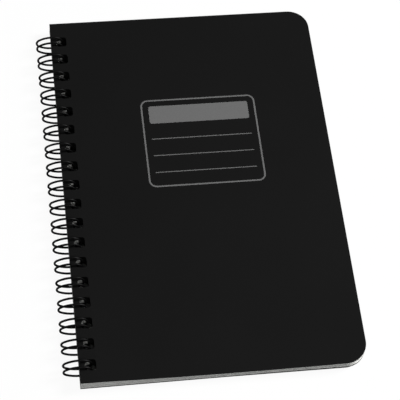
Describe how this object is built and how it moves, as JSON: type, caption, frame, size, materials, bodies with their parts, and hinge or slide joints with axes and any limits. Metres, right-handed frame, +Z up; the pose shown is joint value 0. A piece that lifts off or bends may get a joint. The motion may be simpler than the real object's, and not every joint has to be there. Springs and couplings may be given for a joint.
{
  "type": "wire-bound notebook",
  "caption": "Pocket notebook with dark plastic covers and plain paper pages, bound along its left side by a twin-loop wire.",
  "frame": {"origin": "middle of the notebook's footprint, at the height of the surface that it lies on, closed and front cover up", "axes": "+X from the bound spine to the fore edge, +Y from the tail edge to the head edge, +Z up out of the front cover"},
  "size_m": [0.1242, 0.1778, 0.009],
  "materials": {
    "cover": "fine satin grain, near black",
    "pages": "uncoated writing paper, off-white",
    "wire": "glossy black coating on steel wire"
  },
  "bodies": {
    "block": {"page_block": "pages"},
    "front": {"front_cover": "cover"},
    "back": {"back_cover": "cover", "wire_binding": "wire"}
  },
  "joints": [
    {"name": "front_cover_hinge", "type": "hinge", "parent": "block", "child": "front", "pos_m": [-0.05547, 0, 0.00434], "axis": [0, -1, 0], "range_deg": [0, 180]},
    {"name": "back_cover_hinge", "type": "hinge", "parent": "block", "child": "back", "pos_m": [-0.05547, 0, 0.00434], "axis": [0, 1, 0], "range_deg": [0, 180]}
  ]
}
